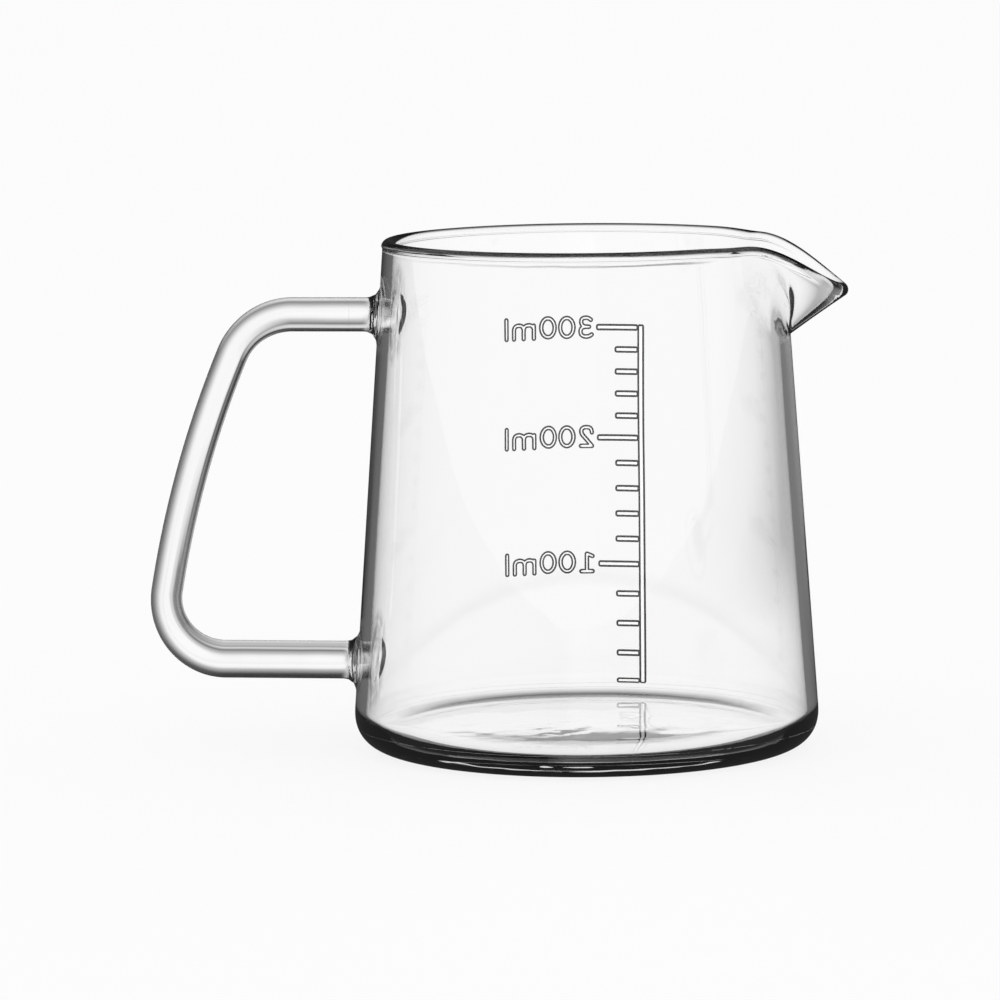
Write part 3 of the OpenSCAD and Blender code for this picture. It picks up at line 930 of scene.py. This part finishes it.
def contours(field, level, xs, zs):
    """Closed level lines of a grid of values, each with the line's own side on the left."""
    inside = field < level
    step = {}
    for i in range(len(xs) - 1):
        for k in range(len(zs) - 1):
            corners = [(i, k), (i + 1, k), (i + 1, k + 1), (i, k + 1)]
            state = [inside[c] for c in corners]
            if all(state) or not any(state):
                continue
            leave = [n for n in range(4) if state[n] and not state[(n + 1) % 4]]
            enter = [n for n in range(4) if not state[n] and state[(n + 1) % 4]]
            for n in leave:
                m = enter[0] if len(enter) == 1 else min(enter, key=lambda e: (n - e) % 4)
                a = frozenset((corners[n], corners[(n + 1) % 4]))
                b = frozenset((corners[m], corners[(m + 1) % 4]))
                step[a] = b
    place = {}
    for edge in step:
        p, q = tuple(edge)
        share = (level - field[p]) / (field[q] - field[p])
        place[edge] = (
            xs[p[0]] + (xs[q[0]] - xs[p[0]]) * share,
            zs[p[1]] + (zs[q[1]] - zs[p[1]]) * share,
        )
    loops = []
    while step:
        first, edge = next(iter(step.items()))
        del step[first]
        loop = [place[first]]
        while edge != first:
            loop.append(place[edge])
            edge = step.pop(edge)
        loops.append(np.array(loop))
    return loops


def even(loop, spacing):
    """The same closed line with evenly spaced points."""
    closed = np.vstack([loop, loop[:1]])
    along = np.concatenate([[0], np.cumsum(np.hypot(*np.diff(closed, axis=0).T))])
    count = max(8, int(along[-1] / spacing))
    wanted = np.linspace(0, along[-1], count, endpoint=False)
    return np.stack([np.interp(wanted, along, closed[:, 0]), np.interp(wanted, along, closed[:, 1])], axis=1)


def numeral_meshes():
    """Outline rings and filled plates of the three figures, still flat."""
    rings, plates = [], []
    for digit, mark_z in (("1", low_mark_z), ("2", mid_mark_z), ("3", top_mark_z)):
        down = (top_mark_z - mark_z) / (top_mark_z - low_mark_z)
        drift = TEXT_DRIFT * down
        base_z = mark_z - TEXT_RISE + TEXT_LIFT * down
        for glyph, place in ((digit, "first"), ("0", "tens"), ("0", "ones"), ("m", "m"), ("l", "l")):
            start = -GLYPH_PLACES[place] - drift
            unit_x = UNIT_X * (LETTER_WIDTH if glyph in "ml" else DIGIT_WIDTH)
            foot_z = base_z - UNIT_DROP if glyph in "ml" else base_z
            lines = [
                [(start - px * unit_x, foot_z + pz * UNIT_Z) for px, pz in line]
                for line in GLYPHS[glyph]
            ]
            flat = np.array([p for line in lines for p in line])
            low = flat.min(axis=0) - STROKE
            high = flat.max(axis=0) + STROKE
            xs = np.arange(low[0], high[0], GLYPH_GRID)
            zs = np.arange(low[1], high[1], GLYPH_GRID)
            grid_x, grid_z = np.meshgrid(xs, zs, indexing="ij")
            field = stroke_distance(lines, grid_x, grid_z)
            ring_lines = contours(field, STROKE / 2 - TEXT_LINE_WIDTH / 2, xs, zs)
            plate_lines = contours(field, STROKE / 2 - TEXT_LINE_WIDTH * 0.8, xs, zs)
            rings += [even(loop, GLYPH_SPACING) for loop in ring_lines]
            plates.append([even(loop, GLYPH_SPACING) for loop in plate_lines])
    return rings, plates


def ring_mesh(loops):
    """Closed rings of a square section that follow closed lines."""
    points, faces = [], []
    for loop in loops:
        ahead = np.roll(loop, -1, axis=0) - np.roll(loop, 1, axis=0)
        ahead /= np.linalg.norm(ahead, axis=1, keepdims=True)
        side = np.stack([-ahead[:, 1], ahead[:, 0]], axis=1) * TEXT_LINE_WIDTH / 2
        start, count = len(points), len(loop)
        for p, s in zip(loop, side):
            for sign, height in ((1, -0.5), (1, 0.5), (-1, 0.5), (-1, -0.5)):
                points.append((p[0] + sign * s[0], p[1] + sign * s[1], height * PRINT_THICKNESS))
        for i in range(count):
            j = (i + 1) % count
            for k in range(4):
                m = (k + 1) % 4
                faces.append((start + 4 * i + k, start + 4 * j + k, start + 4 * j + m, start + 4 * i + m))
    mesh = bpy.data.meshes.new("rings")
    mesh.from_pydata(points, [], faces)
    return mesh


def plate_mesh(groups):
    """Closed plates inside closed lines, with the holes left open."""
    meshes = []
    for loops in groups:
        curve = bpy.data.curves.new("plate", "CURVE")
        curve.dimensions = "2D"
        curve.fill_mode = "BOTH"
        curve.extrude = PRINT_THICKNESS * PLATE_SHARE / 2
        for loop in loops:
            spline = curve.splines.new("POLY")
            spline.points.add(len(loop) - 1)
            for point, (x, z) in zip(spline.points, loop):
                point.co = (x, z, 0, 1)
            spline.use_cyclic_u = True
        carrier = bpy.data.objects.new("plate", curve)
        bpy.context.scene.collection.objects.link(carrier)
        depsgraph = bpy.context.evaluated_depsgraph_get()
        meshes.append(bpy.data.meshes.new_from_object(carrier.evaluated_get(depsgraph)))
        bpy.data.objects.remove(carrier)
    return meshes


def printed_piece(name, meshes, enamel):
    """One closed mesh of flat prints, laid round the outside of the wall."""
    shell = bmesh.new()
    for mesh in meshes:
        shell.from_mesh(mesh)
    bmesh.ops.remove_doubles(shell, verts=shell.verts, dist=MERGE_DISTANCE)
    for vertex in shell.verts:
        x, z, height = vertex.co
        radius = outer_radius(z)
        turn = (x + PRINT_SLANT * (z - FIRST_MARK_Z)) / radius
        reach = radius + height + PRINT_THICKNESS / 2 + PRINT_GAP
        vertex.co = (reach * math.sin(turn), reach * math.cos(turn), z)
    bmesh.ops.recalc_face_normals(shell, faces=shell.faces)
    mesh = bpy.data.meshes.new(name)
    shell.to_mesh(mesh)
    shell.free()
    mesh.materials.clear()
    mesh.materials.append(enamel)
    mesh.polygons.foreach_set("material_index", [0] * len(mesh.polygons))
    piece = bpy.data.objects.new(name, mesh)
    bpy.context.scene.collection.objects.link(piece)
    return piece


row_tree = mark_tree()
white_enamel = enamel_material("white_enamel", WHITE_COLOUR, WHITE_ROUGHNESS, PAINTED_BACK_GLOW)
dark_enamel = enamel_material("dark_enamel", DARK_COLOUR, DARK_ROUGHNESS, 0.0)
rings_flat, plates_flat = numeral_meshes()
outlines = printed_piece(
    "scale_lines", mark_rows(row_tree, True, dark_enamel) + [ring_mesh(rings_flat)], dark_enamel
)
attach(outlines, "root")
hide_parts("scale_outline")
cells = printed_piece(
    "scale_cells", mark_rows(row_tree, False, white_enamel) + plate_mesh(plates_flat), white_enamel
)
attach(cells, "root")
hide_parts("scale_marks")

# Studio. A wide white table top and a soft white surround. Rays that leave the glass see a
# bright band at the horizon that darkens upwards and straight below, as in a bright-field set,
# and darker grey far off to the right of it, as if a grey screen stood there; on the table this is painted
# shade.
FLOOR_RADIUS = 8.0
FLOOR_DROP = 0.00005
FLOOR_COLOUR = (0.95, 0.95, 0.95, 1)
FLOOR_ROUGHNESS = 0.6
FLOOR_GLOW_SHARE = 0.85
SOFT_LIGHT = 1.0
REFLECTED_SHARE = 0.04
INNER_SHARE_WORLD = 0.9
DEEP_SHARE = 0.8
DEEP_CROSSINGS = 3.5
STEEP_CROSSINGS = 2.5
SCREEN_DISTANCE = 0.16
HEEL_SHADE_RADIUS = 0.062
SKY_BANDS = (
    (0.0, 1.0), (0.2, 1.0), (0.35, 0.8), (0.5, 0.75), (0.62, 0.9), (0.7, 0.9), (0.8, 0.4), (1.0, 0.3),
)
# Level by how flat a ray meets the table: 0 is straight down and 1 level
FLOOR_BANDS = ((0.0, 0.95), (0.05, 0.85), (0.2, 0.85), (0.45, 0.9), (0.7, 1.0), (1.0, 1.0))
FLAT_BANDS = ((0.5, 0.12), (0.72, 0.8), (0.8, 1.0))
STEEP_BANDS = ((0.4, 0.08), (0.53, 0.12), (0.66, 1.0))
# Level by the heading to the right: -1 is straight left and 1 straight right
CLEAR_BY_HEADING = (
    (-1.0, 1.0), (0.0, 1.0), (0.07, 0.93), (0.13, 0.75), (0.2, 0.5), (0.3, 0.52), (0.45, 0.65), (1.0, 0.7),
)
INNER_BY_HEADING = (
    (-1.0, 0.17), (-0.6, 0.17), (-0.4, 0.12), (-0.2, 0.05), (-0.11, 0.05), (-0.06, 0.3), (0.0, 0.7),
    (0.1, 0.6), (0.25, 0.38), (0.42, 0.23), (1.0, 0.2),
)


def heading_ramp(tree, coordinates, stops):
    """Level by how far to the right a ray heads, from a direction or a place on the floor."""
    value = math_in(tree)
    x, y, z = node_in(tree, "ShaderNodeSeparateXYZ", {"Vector": coordinates}).outputs
    half = value("MULTIPLY", value("DIVIDE", x, value("ADD", length_of(value, x, y), 1e-6)), 0.5)
    return ramp_in(tree, value("ADD", half, 0.5), [((right + 1) / 2, level) for right, level in stops])


def path_share(tree, path, inner_share, clear_share):
    """Painted shade by path: the share of the level that the world or table shows a ray, set by how often it
    was refracted and reflected on the way.
    """
    value = math_in(tree)

    def between(low, high, share):
        return value("ADD", low, value("MULTIPLY", share, value("SUBTRACT", high, low)))

    reflected = value("MINIMUM", path.outputs["Glossy Depth"], 1)
    entered = value("MINIMUM", path.outputs["Transmission Depth"], 1)
    deep = value("GREATER_THAN", path.outputs["Transmission Depth"], DEEP_CROSSINGS)
    inner = between(inner_share, 1.0, value("MULTIPLY", deep, DEEP_SHARE))
    mirrored = between(REFLECTED_SHARE, inner, entered)
    clear = between(1.0, clear_share, deep)
    return between(clear, mirrored, reflected)


world = bpy.data.worlds.new("studio")
bpy.context.scene.world = world
world.use_nodes = True
tree = world.node_tree
nodes, links = tree.nodes, tree.links
value = math_in(tree)
path = nodes.new("ShaderNodeLightPath")
background = nodes["Background"]
background.inputs["Color"].default_value = (1, 1, 1, 1)
heading = nodes.new("ShaderNodeTexCoord").outputs["Generated"]
rise = node_in(tree, "ShaderNodeSeparateXYZ", {"Vector": heading}).outputs["Z"]
bands = ramp_in(tree, rise, SKY_BANDS)
clear_share = heading_ramp(tree, heading, CLEAR_BY_HEADING)
seen = value("MULTIPLY", bands, path_share(tree, path, INNER_SHARE_WORLD, clear_share))
from_glass = value("MAXIMUM", path.outputs["Is Transmission Ray"], path.outputs["Is Glossy Ray"])
seen = value("MULTIPLY", seen, from_glass)
rest = value("MULTIPLY", value("SUBTRACT", 1, from_glass), SOFT_LIGHT)
level = value("MAXIMUM", value("ADD", seen, rest), path.outputs["Is Camera Ray"])
links.new(level, background.inputs["Strength"])

floor_mesh = bpy.data.meshes.new("table_top")
disc = bmesh.new()
bmesh.ops.create_circle(disc, cap_ends=True, segments=96, radius=FLOOR_RADIUS)
disc.to_mesh(floor_mesh)
disc.free()
floor = bpy.data.objects.new("table_top", floor_mesh)
bpy.context.scene.collection.objects.link(floor)
floor.location.z = -FLOOR_DROP
table = bpy.data.materials.new("white_table")
table.use_nodes = True
tree = table.node_tree
nodes, links = tree.nodes, tree.links
value = math_in(tree)
shader = nodes["Principled BSDF"]
shader.inputs["Base Color"].default_value = FLOOR_COLOUR
shader.inputs["Roughness"].default_value = FLOOR_ROUGHNESS
path = nodes.new("ShaderNodeLightPath")
glow = nodes.new("ShaderNodeEmission")
place = nodes.new("ShaderNodeTexCoord").outputs["Object"]
flatness = node_in(tree, "ShaderNodeLayerWeight", {"Blend": 0.5}).outputs["Facing"]
from_centre = node_in(tree, "ShaderNodeVectorMath", {"Vector": place}, operation="LENGTH").outputs["Value"]
inner_share = heading_ramp(tree, place, INNER_BY_HEADING)
inner_share = value("MULTIPLY", inner_share, ramp_in(tree, flatness, FLAT_BANDS))
# Painted shade of the screen on the table: only what is seen beyond this distance is darkened
away = value("MULTIPLY", value("SUBTRACT", from_centre, SCREEN_DISTANCE), 6)
away = value("MAXIMUM", value("MINIMUM", away, 1), 0)
screen_shade = value("SUBTRACT", 1, heading_ramp(tree, place, CLEAR_BY_HEADING))
clear_share = value("SUBTRACT", 1, value("MULTIPLY", away, screen_shade))
share = path_share(tree, path, inner_share, clear_share)
seen = value("MULTIPLY", ramp_in(tree, flatness, FLOOR_BANDS), share)
# Steep rays through the heel are dark where they were mirrored in it or land just beside it
outside = value("GREATER_THAN", from_centre, FOOT_RADIUS - HEEL_WIDTH)
close = value("MULTIPLY", value("SUBTRACT", HEEL_SHADE_RADIUS, from_centre), 100)
close = value("MAXIMUM", value("MINIMUM", close, 1), 0)
mirrored = value("MINIMUM", path.outputs["Glossy Depth"], 1)
shaded = value("MAXIMUM", value("MULTIPLY", outside, close), mirrored)
shaded = value("MULTIPLY", value("GREATER_THAN", path.outputs["Transmission Depth"], STEEP_CROSSINGS), shaded)
loss = value("MULTIPLY", shaded, value("SUBTRACT", 1, ramp_in(tree, flatness, STEEP_BANDS)))
seen = value("MULTIPLY", seen, value("SUBTRACT", 1, loss))
level = value("MAXIMUM", seen, path.outputs["Is Camera Ray"])
links.new(level, glow.inputs["Strength"])
mix = nodes.new("ShaderNodeMixShader")
share = value("MULTIPLY", path.outputs["Is Camera Ray"], FLOOR_GLOW_SHARE)
clear = value("MAXIMUM", path.outputs["Is Transmission Ray"], path.outputs["Is Glossy Ray"])
links.new(value("MAXIMUM", share, clear), mix.inputs[0])
links.new(shader.outputs[0], mix.inputs[1])
links.new(glow.outputs[0], mix.inputs[2])
links.new(mix.outputs[0], nodes["Material Output"].inputs["Surface"])
floor.data.materials.append(table)

bpy.context.scene.view_settings.view_transform = "Standard"
